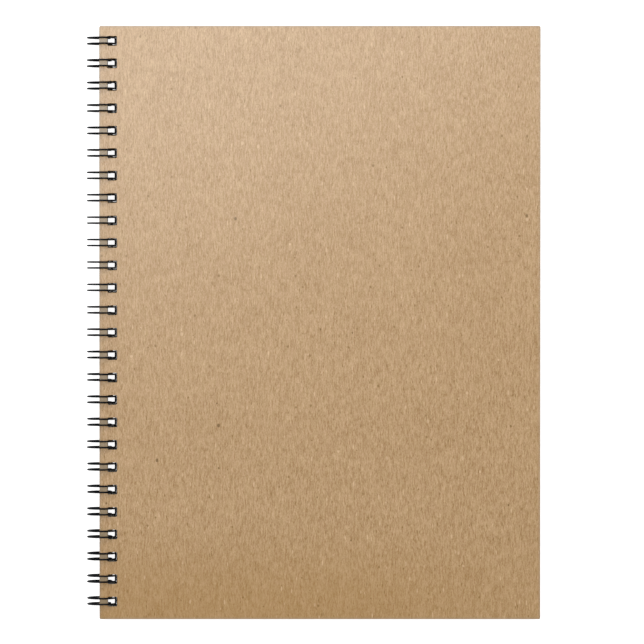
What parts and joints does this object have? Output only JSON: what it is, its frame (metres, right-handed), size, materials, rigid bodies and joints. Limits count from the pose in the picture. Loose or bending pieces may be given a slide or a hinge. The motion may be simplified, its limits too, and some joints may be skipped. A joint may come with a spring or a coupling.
{
  "type": "wire-bound sketchbook",
  "caption": "Portrait sketchbook with plain kraft board covers and heavy drawing sheets, held along the left edge by a black twin-loop wire through square punched holes.",
  "frame": {"origin": "middle of the back cover's outer face", "axes": "+X from the binding to the fore-edge, +Y from the tail to the head, +Z from the back cover to the front cover"},
  "size_m": [0.1714, 0.224, 0.011],
  "materials": {
    "kraft_board": "matt uncoated board with a fine vertical grain and dark flecks",
    "coated_wire": "black nylon coating with a soft sheen",
    "drawing_paper": "matt, lightly toothed, warm white"
  },
  "bodies": {
    "back_cover": {"back_cover": "kraft_board"},
    "binding_wire": {"binding_wire": "coated_wire"},
    "sheet_20": {"sheet_20": "drawing_paper"},
    "sheet_19": {"sheet_19": "drawing_paper"},
    "sheet_18": {"sheet_18": "drawing_paper"},
    "sheet_17": {"sheet_17": "drawing_paper"},
    "sheet_16": {"sheet_16": "drawing_paper"},
    "sheet_15": {"sheet_15": "drawing_paper"},
    "sheet_14": {"sheet_14": "drawing_paper"},
    "sheet_13": {"sheet_13": "drawing_paper"},
    "sheet_12": {"sheet_12": "drawing_paper"},
    "sheet_11": {"sheet_11": "drawing_paper"},
    "sheet_10": {"sheet_10": "drawing_paper"},
    "sheet_09": {"sheet_09": "drawing_paper"},
    "sheet_08": {"sheet_08": "drawing_paper"},
    "sheet_07": {"sheet_07": "drawing_paper"},
    "sheet_06": {"sheet_06": "drawing_paper"},
    "sheet_05": {"sheet_05": "drawing_paper"},
    "sheet_04": {"sheet_04": "drawing_paper"},
    "sheet_03": {"sheet_03": "drawing_paper"},
    "sheet_02": {"sheet_02": "drawing_paper"},
    "sheet_01": {"sheet_01": "drawing_paper"},
    "front_cover": {"front_cover": "kraft_board"}
  },
  "joints": [
    {"name": "binding_wire_spin", "type": "hinge", "parent": "back_cover", "child": "binding_wire", "pos_m": [-0.08253, 0, 0.00261], "axis": [0, -1, 0], "range_deg": [-180, 0]},
    {"name": "sheet_20_turn", "type": "hinge", "parent": "back_cover", "child": "sheet_20", "pos_m": [-0.08329, 0, 0.00261], "axis": [0, -1, 0], "range_deg": [0, 180]},
    {"name": "sheet_19_turn", "type": "hinge", "parent": "sheet_20", "child": "sheet_19", "pos_m": [-0.08329, 0, 0.00261], "axis": [0, -1, 0], "range_deg": [0, 180]},
    {"name": "sheet_18_turn", "type": "hinge", "parent": "sheet_19", "child": "sheet_18", "pos_m": [-0.08329, 0, 0.00261], "axis": [0, -1, 0], "range_deg": [0, 180]},
    {"name": "sheet_17_turn", "type": "hinge", "parent": "sheet_18", "child": "sheet_17", "pos_m": [-0.08329, 0, 0.00261], "axis": [0, -1, 0], "range_deg": [0, 180]},
    {"name": "sheet_16_turn", "type": "hinge", "parent": "sheet_17", "child": "sheet_16", "pos_m": [-0.08329, 0, 0.00261], "axis": [0, -1, 0], "range_deg": [0, 180]},
    {"name": "sheet_15_turn", "type": "hinge", "parent": "sheet_16", "child": "sheet_15", "pos_m": [-0.08329, 0, 0.00261], "axis": [0, -1, 0], "range_deg": [0, 180]},
    {"name": "sheet_14_turn", "type": "hinge", "parent": "sheet_15", "child": "sheet_14", "pos_m": [-0.08329, 0, 0.00261], "axis": [0, -1, 0], "range_deg": [0, 180]},
    {"name": "sheet_13_turn", "type": "hinge", "parent": "sheet_14", "child": "sheet_13", "pos_m": [-0.08329, 0, 0.00261], "axis": [0, -1, 0], "range_deg": [0, 180]},
    {"name": "sheet_12_turn", "type": "hinge", "parent": "sheet_13", "child": "sheet_12", "pos_m": [-0.08329, 0, 0.00261], "axis": [0, -1, 0], "range_deg": [0, 180]},
    {"name": "sheet_11_turn", "type": "hinge", "parent": "sheet_12", "child": "sheet_11", "pos_m": [-0.08329, 0, 0.00261], "axis": [0, -1, 0], "range_deg": [0, 180]},
    {"name": "sheet_10_turn", "type": "hinge", "parent": "sheet_11", "child": "sheet_10", "pos_m": [-0.08329, 0, 0.00261], "axis": [0, -1, 0], "range_deg": [0, 180]},
    {"name": "sheet_09_turn", "type": "hinge", "parent": "sheet_10", "child": "sheet_09", "pos_m": [-0.08329, 0, 0.00261], "axis": [0, -1, 0], "range_deg": [0, 180]},
    {"name": "sheet_08_turn", "type": "hinge", "parent": "sheet_09", "child": "sheet_08", "pos_m": [-0.08329, 0, 0.00261], "axis": [0, -1, 0], "range_deg": [0, 180]},
    {"name": "sheet_07_turn", "type": "hinge", "parent": "sheet_08", "child": "sheet_07", "pos_m": [-0.08329, 0, 0.00261], "axis": [0, -1, 0], "range_deg": [0, 180]},
    {"name": "sheet_06_turn", "type": "hinge", "parent": "sheet_07", "child": "sheet_06", "pos_m": [-0.08329, 0, 0.00261], "axis": [0, -1, 0], "range_deg": [0, 180]},
    {"name": "sheet_05_turn", "type": "hinge", "parent": "sheet_06", "child": "sheet_05", "pos_m": [-0.08329, 0, 0.00261], "axis": [0, -1, 0], "range_deg": [0, 180]},
    {"name": "sheet_04_turn", "type": "hinge", "parent": "sheet_05", "child": "sheet_04", "pos_m": [-0.08329, 0, 0.00261], "axis": [0, -1, 0], "range_deg": [0, 180]},
    {"name": "sheet_03_turn", "type": "hinge", "parent": "sheet_04", "child": "sheet_03", "pos_m": [-0.08329, 0, 0.00261], "axis": [0, -1, 0], "range_deg": [0, 180]},
    {"name": "sheet_02_turn", "type": "hinge", "parent": "sheet_03", "child": "sheet_02", "pos_m": [-0.08329, 0, 0.00261], "axis": [0, -1, 0], "range_deg": [0, 180]},
    {"name": "sheet_01_turn", "type": "hinge", "parent": "sheet_02", "child": "sheet_01", "pos_m": [-0.08329, 0, 0.00261], "axis": [0, -1, 0], "range_deg": [0, 180]},
    {"name": "front_cover_turn", "type": "hinge", "parent": "sheet_01", "child": "front_cover", "pos_m": [-0.08329, 0, 0.00261], "axis": [0, -1, 0], "range_deg": [0, 180]}
  ]
}
